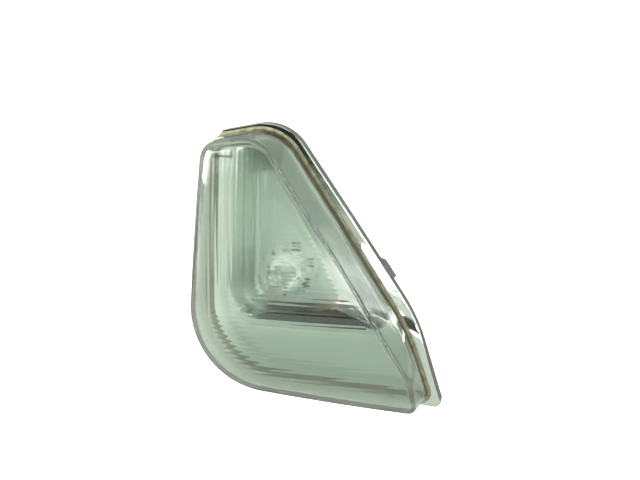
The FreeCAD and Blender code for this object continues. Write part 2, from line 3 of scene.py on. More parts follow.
import bpy
import numpy as np
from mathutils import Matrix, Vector


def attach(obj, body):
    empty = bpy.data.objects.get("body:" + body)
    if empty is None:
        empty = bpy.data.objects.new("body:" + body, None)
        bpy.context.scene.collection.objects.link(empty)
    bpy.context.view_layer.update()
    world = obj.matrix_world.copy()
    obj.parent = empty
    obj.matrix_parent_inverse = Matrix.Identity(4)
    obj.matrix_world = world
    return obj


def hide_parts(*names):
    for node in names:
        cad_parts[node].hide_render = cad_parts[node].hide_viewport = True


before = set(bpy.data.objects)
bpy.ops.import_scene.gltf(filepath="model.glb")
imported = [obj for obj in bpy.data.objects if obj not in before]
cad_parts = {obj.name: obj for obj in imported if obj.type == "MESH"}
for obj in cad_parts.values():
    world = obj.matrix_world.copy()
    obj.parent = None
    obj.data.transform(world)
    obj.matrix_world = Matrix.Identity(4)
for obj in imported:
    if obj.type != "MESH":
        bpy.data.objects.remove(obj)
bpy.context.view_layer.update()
mm = 0.001
print("frame loaded:", len(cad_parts), "nodes")


# Surfaces: lengths are in millimetres everywhere but on the stage, which is in metres

# corners of each outline, clockwise from the front: x, z and rounding, in millimetres
footCorners = [(-30.6, 63.0, 9.0), (1.4, 69.3, 20.0), (30.8, 24.3, 500.0),
               (59.5, -21.1, 90.0), (70.5, -53.3, 3.5), (-36.9, -44.5, 37.0)]
faceCorners = [(-29.8, 62.5, 9.0), (-1.0, 66.0, 18.0), (38.8, 8.8, 400.0),
               (67.2, -41.0, 5.0), (67.3, -52.0, 3.5), (-35.3, -42.5, 35.0)]
rimCorners = [(-32.3, 64.7, 10.0), (3.4, 71.8, 21.0), (33.4, 28.4, 500.0),
              (62.8, -15.4, 80.0), (75.4, -56.2, 2.5), (-38.6, -46.3, 38.5)]
mouthCorners = [(-18.9, 60.0, 6.0), (-1.0, 63.4, 15.0), (53.2, -21.2, 4.0), (-24.2, -19.6, 15.0)]
floorCorners = [(-15.0, 45.0, 3.0), (-6.5, 45.5, 3.0), (25.6, -15.2, 4.0), (-18.2, -19.0, 12.0)]
# the four corners that an outline of four or of six corners is cut at
cutAt = {4: (0, 1, 2, 3), 6: (0, 1, 4, 5)}
surfaceValues = {
    "arcSteps": 24, "sideSteps": 96, "turnedSteps": 48, "smallestRadius": 0.5, "sharpAngle": 38.0,
}


def roundedOutline(corners, outset, plan):
    # sides moved outwards by outset, corners rounded by tangent arcs: each arc is walked as
    # centre + radius * (-inward * cos + ahead * sin), then the straight side follows it
    corner = np.array(corners, float)
    ahead = np.roll(corner[:, :2], -1, axis=0) - corner[:, :2]
    ahead /= np.linalg.norm(ahead, axis=1)[:, None]
    inward = np.stack([ahead[:, 1], -ahead[:, 0]], axis=1)
    behind, inwardBehind = np.roll(ahead, 1, axis=0), np.roll(inward, 1, axis=0)
    spread = 1 + (inward * inwardBehind).sum(axis=1)
    moved = corner[:, :2] - outset * (inward + inwardBehind) / spread[:, None]
    radius = np.maximum(corner[:, 2] + outset, surfaceValues["smallestRadius"])
    halfTurn = np.arccos(np.clip((ahead * behind).sum(axis=1), -1, 1)) / 2
    tangent = (radius * np.tan(halfTurn))[:, None]
    centre = moved - behind * tangent + radius[:, None] * inwardBehind
    starts, ends = moved - behind * tangent, moved + ahead * tangent
    points, middles, walked = [], [], 0
    for i, (before, after, line) in enumerate(plan):
        firstHalf = np.linspace(0, halfTurn[i], before, endpoint=False)
        secondHalf = np.linspace(halfTurn[i], 2 * halfTurn[i], after, endpoint=False)
        turn = np.concatenate([firstHalf, secondHalf])[:, None]
        points.append(centre[i] + radius[i] * (behind[i] * np.sin(turn) - inwardBehind[i] * np.cos(turn)))
        along = np.linspace(0, 1, line, endpoint=False)[:, None]
        points.append(ends[i] + along * (starts[(i + 1) % len(plan)] - ends[i]))
        middles.append(walked + before)
        walked += before + after + line
    return np.roll(np.vstack(points), -middles[0], axis=0), [m - middles[0] for m in middles]


def fourSides(corners, outset, counts):
    # the outline cut at its four outer corners, each side in equal steps of its own length
    v = surfaceValues
    plan = [(v["arcSteps"], v["arcSteps"], v["sideSteps"])] * len(corners)
    points, middles = roundedOutline(corners, outset, plan)
    splits = [middles[i] for i in cutAt[len(corners)]] + [len(points)]
    closed = np.vstack([points, points[:1]])
    sides = []
    for first, last, count in zip(splits[:-1], splits[1:], counts):
        side = closed[first:last + 1]
        length = np.concatenate([[0], np.cumsum(np.linalg.norm(np.diff(side, axis=0), axis=1))])
        wanted = np.linspace(0, length[-1], count, endpoint=False)
        sides.append(np.stack([np.interp(wanted, length, side[:, k]) for k in (0, 1)], axis=1))
    return np.vstack(sides)


def lift(flat, y):
    # outline points in the plane at depth y, or each at a depth of its own
    return np.stack([flat[:, 0], np.broadcast_to(y, flat[:, 0].shape), flat[:, 1]], axis=1)


def stripFaces(rings, around, start=0, closed=False):
    # quads between neighbouring rings, wound to face outwards when rings run towards the front
    ring = np.arange(rings if closed else rings - 1)[:, None]
    step = np.arange(around)[None, :]
    nextRing, nextStep = (ring + 1) % rings, (step + 1) % around
    quads = np.stack([ring * around + step, nextRing * around + step,
                      nextRing * around + nextStep, ring * around + nextStep], axis=2)
    return start + quads.reshape(-1, 4)


def island(rings):
    # rings joined by strips, with a flat face on the first and the last: a closed body
    count, around = rings.shape[:2]
    faces = stripFaces(count, around).tolist()
    faces.append(list(range(around))[::-1])
    faces.append(list(range((count - 1) * around, count * around)))
    return rings.reshape(-1, 3), [face[::-1] for face in faces]


def softPrism(flat, front, back, edge):
    # a flat outline carried along y, its two end edges broken by moving in towards the middle
    middle = flat.mean(axis=0)
    reach = np.linalg.norm(flat - middle, axis=1)[:, None]
    inner = middle + (flat - middle) * (1 - edge / reach)
    return island(np.array([lift(inner, front), lift(flat, front + edge), lift(flat, back - edge),
                            lift(inner, back)]))


def turnedBody(profile, centre):
    # radius and depth pairs turned about an axis along y
    angle = np.linspace(0, 2 * math.pi, surfaceValues["turnedSteps"], endpoint=False)
    circle = np.stack([np.cos(angle), -np.sin(angle)], axis=1)
    return island(np.array([lift(np.array(centre) + radius * circle, y) for radius, y in profile]))


def meshPiece(name, points, faces, body):
    mesh = bpy.data.meshes.new(name)
    mesh.from_pydata((np.asarray(points) * mm).tolist(), [], [list(map(int, f)) for f in faces])
    mesh.polygons.foreach_set("use_smooth", np.full(len(mesh.polygons), True))
    mesh.set_sharp_from_angle(angle=math.radians(surfaceValues["sharpAngle"]))
    mesh.validate()
    piece = bpy.data.objects.new(name, mesh)
    bpy.context.scene.collection.objects.link(piece)
    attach(piece, body)
    return piece


# Shader maths

class Value:
    # a node's output that can be added, taken away and multiplied
    def __init__(self, tree, socket):
        self.tree = tree
        self.socket = socket

    def maths(self, operation, first, second=None):
        node = self.tree.nodes.new("ShaderNodeMath")
        node.operation = operation
        for place, item in enumerate((first, second)):
            if isinstance(item, Value):
                self.tree.links.new(item.socket, node.inputs[place])
            elif item is not None:
                node.inputs[place].default_value = item
        return Value(self.tree, node.outputs[0])

    def __add__(self, other):
        return self.maths("ADD", self, other)

    def __radd__(self, other):
        return self.maths("ADD", other, self)

    def __sub__(self, other):
        return self.maths("SUBTRACT", self, other)

    def __rsub__(self, other):
        return self.maths("SUBTRACT", other, self)

    def __mul__(self, other):
        return self.maths("MULTIPLY", self, other)

    def __rmul__(self, other):
        return self.maths("MULTIPLY", other, self)

    def __abs__(self):
        return self.maths("ABSOLUTE", self)


class Graph:
    # makes and links the nodes of a material or of the world
    def __init__(self, tree):
        self.tree = tree

    def node(self, kind, settings=None, inputs=None, output=0):
        made = self.tree.nodes.new(kind)
        for word, value in (settings or {}).items():
            setattr(made, word, value)
        for word, value in (inputs or {}).items():
            if isinstance(value, Value):
                self.tree.links.new(value.socket, made.inputs[word])
            else:
                made.inputs[word].default_value = value
        return Value(self.tree, made.outputs[output])

    def rise(self, value, low, high):
        # 0 below low, 1 above high, smooth between
        return self.node("ShaderNodeMapRange", {"interpolation_type": "SMOOTHSTEP"},
                         {"Value": value, "From Min": low, "From Max": high})

    def blend(self, share, first, second):
        return self.node("ShaderNodeMix", {"data_type": "RGBA"}, {0: share, 6: first, 7: second}, output=2)

    def split(self, vector):
        # one value for each axis
        parts = self.node("ShaderNodeSeparateXYZ", inputs={"Vector": vector})
        return [Value(self.tree, socket) for socket in parts.socket.node.outputs]

    def seenByCamera(self):
        return self.node("ShaderNodeLightPath", output="Is Camera Ray")


class Finish(Graph):
    def __init__(self, name, **constants):
        self.material = bpy.data.materials.new(name)
        self.material.use_nodes = True
        super().__init__(self.material.node_tree)
        self.shader = self.tree.nodes["Principled BSDF"]
        for word, value in constants.items():
            self.shader.inputs[word.replace("_", " ")].default_value = value

    def coordinates(self):
        return self.node("ShaderNodeTexCoord", output="Object")

    def axes(self):
        # position on the piece in millimetres
        return [axis * (1 / mm) for axis in self.split(self.coordinates())]

    def mask(self, name):
        return self.node("ShaderNodeAttribute", {"attribute_name": name}, output="Fac")

    def noise(self, scale, detail=3.0, roughness=0.5, stretch=(1, 1, 1)):
        # scale is given in waves for each millimetre
        placed = self.node("ShaderNodeMapping", inputs={"Vector": self.coordinates(), "Scale": stretch})
        return self.node("ShaderNodeTexNoise", inputs={"Vector": placed, "Scale": scale / mm,
                                                       "Detail": detail, "Roughness": roughness})

    def mix(self, share, first, second):
        # as blend, for numbers
        return first + (second - first) * share

    def feed(self, word, value):
        self.tree.links.new(value.socket, self.shader.inputs[word])

    def bump(self, height, distance):
        # distance in millimetres
        self.feed("Normal", self.node("ShaderNodeBump", inputs={"Height": height, "Distance": distance * mm}))


# Lens

lensValues = {
    # the face is part of a ball of domeRadius, foremost at (domeX, domeZ) and there depth ahead of the
    # flange; the walls run from the foot's outline at footY towards the face's at facePlane
    "depth": 31.5, "domeRadius": 400.0, "domeX": 28.0, "domeZ": 8.0, "facePlane": 34.0, "footY": 1.4,
    "wall": 2.4, "faceWall": 2.6, "edgeRound": 8.0, "ridgeRound": 2.0, "innerRidgeRound": 0.6,
    # ribs: they fade out within the margin and turn from upright to level across the mitre line
    "pitch": 2.2, "rise": 0.09, "margin": 3.6, "marginBlend": 2.0,
    "mitreX": 10.5, "mitreZ": 38.2, "mitreAngle": 54.0, "mitreBlend": 8.0,
    # rings on the wall and on the edge rounding
    "outerRings": (4, 10), "innerRings": (3, 20), "settleRounds": 20,
    # finish; each noise is waves for each millimetre, detail, roughness and stretch
    "tint": (0.90, 0.955, 0.915, 1.0), "dusty": (0.86, 0.91, 0.86, 1.0), "dustShare": 0.6,
    "refraction": 1.36, "solidness": 0.8, "coat": 0.25,
    "roughness": 0.02, "hazeRoughness": 0.05, "fineRoughness": 0.02,
    "cloudNoise": (0.03, 4.0, 0.6), "fineNoise": (0.4, 3.0, 0.6), "hazeRange": (0.5, 0.8),
    "waveNoise": (0.05, 2.0), "waveDepth": 0.06,
    "glueTone": (0.34, 0.26, 0.13, 1.0), "glueShare": 0.85, "glueNoise": (0.25, 4.0, 0.7, (0.6, 1, 2.5)),
    "glueRange": (0.42, 0.52), "glueAbove": (58.0, 60.0), "glueBehind": (-14.0, -5.0),
    # mould mark near the top left (a blob, a line, a short upright) and a speck in the middle:
    # middle, reach, core and raggedness of each, all as x and z
    "marks": [((-21.2, 57.8), (1.9, 1.1), (1.2, 0.6), (1.0, 1.0)),
              ((-17.3, 57.7), (4.0, 0.4), (3.6, 0.15), (0.0, 0.6)),
              ((-14.0, 58.4), (0.5, 1.7), (0.2, 1.4), (0.0, 0.0)),
              ((16.8, 7.0), (0.55, 0.5), (0.3, 0.25), (0.0, 0.0))],
    "markTone": (0.06, 0.07, 0.04, 1.0), "markShare": 0.85, "markAhead": (-13.0, -15.0), "ragged": 1.2,
}
# points on each corner's two half arcs and on the side after it, for the finer inner skin
innerPlan = [(28, 72, 76), (76, 20, 80), (36, 32, 76), (4, 4, 12), (8, 12, 140), (72, 80, 164)]
# steps of the inner face between its four corners
across, down = 224, 272
# the outer skin is plain and has one step for so many of the inner skin's
coarser = 4
outerPlan = [tuple(count // coarser for count in corner) for corner in innerPlan]


def domeY(x, z, radius):
    v = lensValues
    centreY = v["domeRadius"] - v["depth"]
    return centreY - np.sqrt(radius ** 2 - (x - v["domeX"]) ** 2 - (z - v["domeZ"]) ** 2)


def edgeRounding(plan, edge, ridge):
    # rounding at each point of the outline: wide on the left, top and bottom, tight on the slant,
    # changing evenly through the top right corner and along the bottom
    starts = [edge, edge, edge, ridge, ridge, ridge, ridge, ridge, ridge, ridge, ridge, ridge, edge]
    counts = []
    for i, (before, after, line) in enumerate(plan):
        counts += [after, line] if i == 0 else [before + after, line]
    counts.append(plan[0][0])
    values = np.array(starts, float)
    finish = np.append(values[1:], edge)
    return np.concatenate([np.linspace(a, b, n, endpoint=False) for a, b, n in zip(values, finish, counts)])


def lensRings(plan, inset, radius, edge, ridge, wallRings, arcRings):
    # the wall is ruled from foot to face plane and meets the dome at an edge; the edge is
    # rounded by a conic: tangent length = rounding / tan(half the corner), weight = its sine
    v = lensValues
    foot = roundedOutline(footCorners, -inset, plan)[0]
    face = roundedOutline(faceCorners, -inset, plan)[0]
    share = np.ones(len(foot))
    for _ in range(v["settleRounds"]):
        met = foot + share[:, None] * (face - foot)
        share = (v["footY"] - domeY(met[:, 0], met[:, 1], radius)) / (v["footY"] + v["facePlane"])
    met = foot + share[:, None] * (face - foot)
    corner = lift(met, domeY(met[:, 0], met[:, 1], radius))
    base = lift(foot, v["footY"])
    backwards = base - lift(face, -v["facePlane"])
    backwards /= np.linalg.norm(backwards, axis=1)[:, None]
    along = np.roll(met, -1, axis=0) - np.roll(met, 1, axis=0)
    along /= np.linalg.norm(along, axis=1)[:, None]
    inwards = np.stack([along[:, 1], -along[:, 0]], axis=1)
    aside = met - [v["domeX"], v["domeZ"]]
    slope = aside / np.sqrt(radius ** 2 - (aside ** 2).sum(axis=1))[:, None]
    onFace = lift(inwards, (slope * inwards).sum(axis=1))
    onFace /= np.linalg.norm(onFace, axis=1)[:, None]
    half = np.arccos((backwards * onFace).sum(axis=1)) / 2
    length = (edgeRounding(plan, edge, ridge) / np.tan(half))[:, None]
    first, last = corner + backwards * length, corner + onFace * length
    last[:, 1] = domeY(last[:, 0], last[:, 2], radius)
    weight = np.sin(half)[:, None]
    rings = [base + (first - base) * k / wallRings for k in range(wallRings)]
    for k in range(arcRings + 1):
        s = k / arcRings
        mix = 2 * weight * s * (1 - s)
        whole = (1 - s) ** 2 + mix + s ** 2
        rings.append(((1 - s) ** 2 * first + mix * corner + s ** 2 * last) / whole)
    return np.array(rings), inwards


def patch(border, columns, rows):
    # transfinite patch: the mean of top-to-bottom and left-to-right blends, less the blend of corners
    total = 2 * (columns + rows)
    top = border[:columns + 1]
    right = border[columns:columns + rows + 1]
    bottom = border[2 * columns + rows - np.arange(columns + 1)]
    left = border[(total - np.arange(rows + 1)) % total]
    u = np.linspace(0, 1, columns + 1)[:, None, None]
    w = np.linspace(0, 1, rows + 1)[None, :, None]
    corners = ((1 - u) * (1 - w) * top[0] + u * (1 - w) * top[-1] + (1 - u) * w * bottom[0]
               + u * w * bottom[-1])
    return (1 - w) * top[:, None] + w * bottom[:, None] + (1 - u) * left[None] + u * right[None] - corners


def patchIndices(columns, rows, border, first):
    # numbers of the patch's points: its edge shares the ring that it closes
    grid = np.zeros((columns + 1, rows + 1), int)
    total = 2 * (columns + rows)
    grid[1:-1, 1:-1] = first + np.arange((columns - 1) * (rows - 1)).reshape(columns - 1, rows - 1)
    grid[:, 0] = border + np.arange(columns + 1)
    grid[-1, :] = border + columns + np.arange(rows + 1)
    grid[:, -1] = border + 2 * columns + rows - np.arange(columns + 1)
    grid[0, :] = border + (total - np.arange(rows + 1)) % total
    quads = np.stack([grid[:-1, :-1], grid[:-1, 1:], grid[1:, 1:], grid[1:, :-1]], axis=2)
    return quads.reshape(-1, 4)


def ribHeight(x, z):
    # upright ribs above the mitre line and level ribs below it: rise * (1 - |cos|) of the place
    # across each rib, faded out near the outline
    v = lensValues
    corner = np.array(faceCorners)[:, :2]
    ahead = np.roll(corner, -1, axis=0) - corner
    ahead /= np.linalg.norm(ahead, axis=1)[:, None]
    reach = np.full(np.shape(x), np.inf)
    for (cx, cz), (ax, az) in zip(corner, ahead):
        reach = np.minimum(reach, (x - cx) * az - (z - cz) * ax)
    fade = smooth((reach - v["margin"]) / v["marginBlend"])
    angle = math.radians(v["mitreAngle"])
    side = (x - v["mitreX"]) * math.sin(angle) - (z - v["mitreZ"]) * math.cos(angle)
    level = smooth(side / v["mitreBlend"] + 0.5)
    low = corner.min(axis=0)
    upright = np.sin(math.pi * (x - low[0]) / v["pitch"]) ** 2
    flat = np.sin(math.pi * (z - low[1]) / v["pitch"]) ** 2
    return v["rise"] * fade * ((1 - level) * upright + level * flat)


def smooth(share):
    share = np.clip(share, 0, 1)
    return share * share * (3 - 2 * share)


def buildLens():
    v = lensValues
    outer, _ = lensRings(outerPlan, 0.0, v["domeRadius"], v["edgeRound"], v["ridgeRound"], *v["outerRings"])
    innerRadius = v["domeRadius"] - v["faceWall"]
    inner, inwards = lensRings(innerPlan, v["wall"], innerRadius, v["edgeRound"] - v["wall"],
                               v["innerRidgeRound"], *v["innerRings"])
    outerAcross, outerDown = across // coarser, down // coarser
    outerPatch = patch(outer[-1][:, [0, 2]], outerAcross, outerDown)[1:-1, 1:-1].reshape(-1, 2)
    innerPatch = patch(inner[-1][:, [0, 2]], across, down)[1:-1, 1:-1].reshape(-1, 2)
    height = ribHeight(innerPatch[:, 0], innerPatch[:, 1])
    innerFace = lift(innerPatch, domeY(innerPatch[:, 0], innerPatch[:, 1], innerRadius) + height)
    outerFace = lift(outerPatch, domeY(outerPatch[:, 0], outerPatch[:, 1], v["domeRadius"]))
    wallRings, arcRings = v["innerRings"]
    for step in range(1, arcRings + 1):  # the ribs run on over the inner edge rounding
        ring, turn = inner[wallRings + step], step / arcRings * math.pi / 2
        height = ribHeight(ring[:, 0], ring[:, 2])[:, None]
        ring += height * (lift(inwards, 0.0) * math.cos(turn) + np.array([0, 1, 0]) * math.sin(turn))
    n, m = outer.shape[1], inner.shape[1]
    firstInner = outer.shape[0] * n + len(outerFace)
    points = np.vstack([outer.reshape(-1, 3), outerFace, inner.reshape(-1, 3), innerFace])
    faces = stripFaces(outer.shape[0], n).tolist()
    faces += patchIndices(outerAcross, outerDown, (outer.shape[0] - 1) * n, outer.shape[0] * n).tolist()
    faces += stripFaces(inner.shape[0], m, firstInner)[:, ::-1].tolist()
    innerEdge = firstInner + (inner.shape[0] - 1) * m
    faces += patchIndices(across, down, innerEdge, firstInner + inner.shape[0] * m)[:, ::-1].tolist()
    for j in range(n):  # the foot joins each outer step to its share of inner points
        beside = [firstInner + (coarser * (j + 1) - k) % m for k in range(coarser + 1)]
        faces.append([j, (j + 1) % n] + beside)
    piece = meshPiece("clearLens", points, faces, "housing")
    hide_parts("lens")
    return piece


def clearFinish():
    v = lensValues
    finish = Finish("clearMouldedPlastic", Base_Color=v["tint"], Transmission_Weight=1.0, IOR=v["refraction"],
                    Roughness=v["roughness"], Alpha=v["solidness"], Coat_Weight=v["coat"],
                    Coat_Roughness=v["roughness"])
    fine = finish.noise(*v["fineNoise"])
    haze = finish.rise(finish.noise(*v["cloudNoise"]), *v["hazeRange"])
    finish.feed("Roughness", v["roughness"] + haze * v["hazeRoughness"] + fine * v["fineRoughness"])
    x, y, z = finish.axes()
    tone = finish.blend(haze * v["dustShare"], v["tint"], v["dusty"])
    # streaks of glue behind the top edge
    streaks = finish.rise(finish.noise(*v["glueNoise"]), *v["glueRange"])
    streaks = streaks * finish.rise(z, *v["glueAbove"]) * finish.rise(y, *v["glueBehind"])
    tone = finish.blend(streaks * v["glueShare"], tone, v["glueTone"])
    # each mark is a soft box seen from the front
    ragged = fine * v["ragged"] - v["ragged"] / 2
    marks = sum(finish.rise(abs(x - middleX + ragged * raggedX), reachX, coreX)
                * finish.rise(abs(z - middleZ + ragged * raggedZ), reachZ, coreZ)
                for (middleX, middleZ), (reachX, reachZ), (coreX, coreZ), (raggedX, raggedZ) in v["marks"])
    marks = finish.rise(marks * finish.rise(y, *v["markAhead"]), 0.0, 1.0)
    finish.feed("Base Color", finish.blend(marks * v["markShare"], tone, v["markTone"]))
    finish.bump(finish.noise(*v["waveNoise"]), v["waveDepth"])
    return finish.material


lens = buildLens()
lens.data.materials.append(clearFinish())
print("lens built:", len(lens.data.polygons), "faces")


# Reflector housing

housingValues = {
    "rimRound": 0.7, "flange": 2.2, "skirtDepth": 6.0, "skirtWall": 1.6, "channelOut": 1.2, "channelIn": 4.0,
    "channelDepth": 1.8, "mouthSoftness": 0.8, "floorSoftness": 2.2, "bowlDepth": 20.0, "bowlWall": 2.0,
    "boreRadius": 9.0, "boreEdge": 0.4, "counts": (72, 176, 128, 120), "tailX": 70.0, "tailZ": -53.3,
    "notchReach": 11.2, "notchHalf": 2.5, "lockAngles": (0.0, -120.0, -240.0), "lockTurn": -45.0,
    # channel ridge: outset, inset, end; collar: inner and outer radius, end; stop: near, far, low,
    # high, front, back
    "channelRidge": (1.4, 5.5, 3.3), "collar": (12.8, 14.4, 26.0), "stop": (9.3, 11.2, 2.4, 4.0, 17.8, 21.0),
    "latch": (48.5, 6.2), "latchLength": 11.0, "latchRamp": 2.4, "latchRise": 1.8, "latchDepth": (1.0, 5.2),
    "latchEdge": 0.2, "sink": 0.3, "backRound": 1.0, "backFlare": 0.6,
    "boss": (20.0, -35.0), "bossRadius": 4.0, "bossEnd": 13.2, "pilotRadius": 1.6, "pilotEnd": 5.2,
    "peg": (50.0, -38.0), "pegRadius": 2.2, "pegEnd": 11.2, "pegLead": 0.8,
    "ribFirst": -8.0, "ribPitch": 13.0, "ribCount": 4, "ribThickness": 1.5, "ribEnd": 5.6,
    "ribTop": -22.4, "ribBottom": -42.0,
    # how far the shelf outside the sealant falls back towards the rim, by height on the slanting side
    "shelfHeights": (-60.0, -40.0, -24.0, -21.0, -15.0, -12.0, 16.0, 24.0, 70.0),
    "shelfFalls": (0.15, 0.20, 0.25, 1.20, 1.20, 0.72, 0.62, 0.30, 0.20), "shelfElsewhere": 0.15,
    "shelfSmoothing": 6,
    # rings for each stretch of the section
    "rimSteps": 6, "shelfSteps": 7, "softSteps": 6, "wallSteps": 25, "floorSteps": 9, "backSteps": 4,
    "collarSteps": 96,
    # rings of bare rim, rings of soft edge and steps of rounded corner that the walls' masks leave out
    "bareRings": 2, "maskRings": 4, "maskSteps": 8,
    # finish; each noise is waves for each millimetre, detail and roughness
    # each pair of places is where a tone starts and where it is full
    "cloudNoise": (0.05, 4.0, 0.6), "fineNoise": (1.2, 3.0, 0.6), "bumpFine": 0.1, "bumpDepth": 0.15,
    # the edge tint darkens the metallising where it is seen at a flat angle
    "edgeTint": (0.5, 0.5, 0.5, 1.0), "coatingEdge": 0.2, "coatingRange": (0.4, 0.6),
    "polish": 0.04, "satin": 0.32, "cloudRoughness": 0.06, "fineRoughness": 0.03,
    "polishedCorner": (-13.0, -15.0),
    "bareRoughness": 0.42, "bareFine": 0.12, "bareRange": (0.35, 0.7),
    "bareTones": ((0.19, 0.20, 0.185, 1.0), (0.14, 0.15, 0.14, 1.0)),
    # painted shade: the bowl's tone is darker than the ledge's, for shade in the recess
    "ledgeTone": (0.69, 0.74, 0.67, 1.0), "bowlShadeTone": (0.62, 0.69, 0.63, 1.0), "bowlBehind": (0.5, 6.0),
    # painted highlight: the slanting wall's tone is lighter than the rest of the bowl
    "slantHighlightTone": (0.88, 0.93, 0.87, 1.0),
    # painted shade: the ledge is darker towards the bottom
    "lowShadeTone": (0.44, 0.51, 0.44, 1.0), "lowShadeWander": 6.0, "lowShadeBelow": (-12.0, -26.0),
    "lowShadeAhead": (0.6, 0.1),
    # painted shade on the upper half of the shelf outside the sealant
    "shelfShadeTone": (0.36, 0.41, 0.34, 1.0), "shelfShare": 0.9, "shelfAbove": (28.0, 36.0),
    # painted highlight on the slanting wall, standing in for a bright reflection
    "paintedHighlightTone": (0.97, 0.98, 0.97, 1.0), "paintedHighlightWhite": 0.85, "paintedHighlightWander": 8.0,
    "paintedHighlightTop": (14.0, -4.0), "paintedHighlightBottom": (-15.0, -13.5),
    "scratchShare": 0.7, "scratchWander": 3.0, "scratchLow": (-9.4, -9.1), "scratchHigh": (-8.3, -8.6),
    # painted dark reflection on the bowl's bottom wall, with a brown patch in it
    "darkReflectionTones": ((0.07, 0.08, 0.05, 1.0), (0.001, 0.001, 0.001, 1.0)), "darkReflectionShare": 0.99,
    "darkReflectionWander": 14.0, "darkReflectionDarkens": (-4.0, 20.0), "darkReflectionFrom": (-11.0, -8.0),
    "brownTone": (0.20, 0.12, 0.08, 1.0), "brownWander": 6.0, "brownBehind": (9.0, 14.0),
    "brownFrom": (14.0, 17.0), "brownTo": (30.0, 27.0), "fineWander": 2.0,
    # painted shade in the slanting wall's lower right corner
    "cornerShadeTone": (0.004, 0.005, 0.004, 1.0), "cornerShadeShare": 0.96, "cornerBelow": (-13.6, -15.2),
    "cornerFrom": (22.0, 26.0),
}


def bezier(first, control, last, steps):
    # soft edge: quadratic curve from first to last, drawn towards control
    s = np.linspace(0, 1, steps + 1)[:, None, None]
    return (1 - s) ** 2 * first + 2 * s * (1 - s) * control + s ** 2 * last


def towards(start, end, distance):
    way = end - start
    return start + way / np.linalg.norm(way, axis=1)[:, None] * distance


def boreOutline(radius):
    # a circle whose points lie in the same directions as those of the bowl's floor, widened by a
    # square notch for each lug
    v = housingValues
    floor = fourSides(floorCorners, 0.0, v["counts"])
    angle = np.unwrap(np.arctan2(floor[:, 1], floor[:, 0]))
    reach = np.full(angle.shape, radius)
    for place in v["lockAngles"]:
        turn = angle - math.radians(place + v["lockTurn"])
        inside = (np.cos(turn) > 0) & (np.abs(np.sin(turn)) * v["notchReach"] < v["notchHalf"])
        reach = np.where(inside, (v["notchReach"] + radius - v["boreRadius"]) / np.cos(turn), reach)
    return reach[:, None] * np.stack([np.cos(angle), np.sin(angle)], axis=1)


def shelfFall():
    # how far back the rim lies behind the sealant's edge, at each point of the outline
    v = housingValues
    top, slant = v["counts"][:2]
    heights = fourSides(rimCorners, 0.0, v["counts"])[:, 1]
    fall = np.full(len(heights), v["shelfElsewhere"])
    fall[top:top + slant] = np.interp(heights[top:top + slant], v["shelfHeights"], v["shelfFalls"])
    for _ in range(v["shelfSmoothing"]):
        fall = (np.roll(fall, 1) + 2 * fall + np.roll(fall, -1)) / 4
    return fall


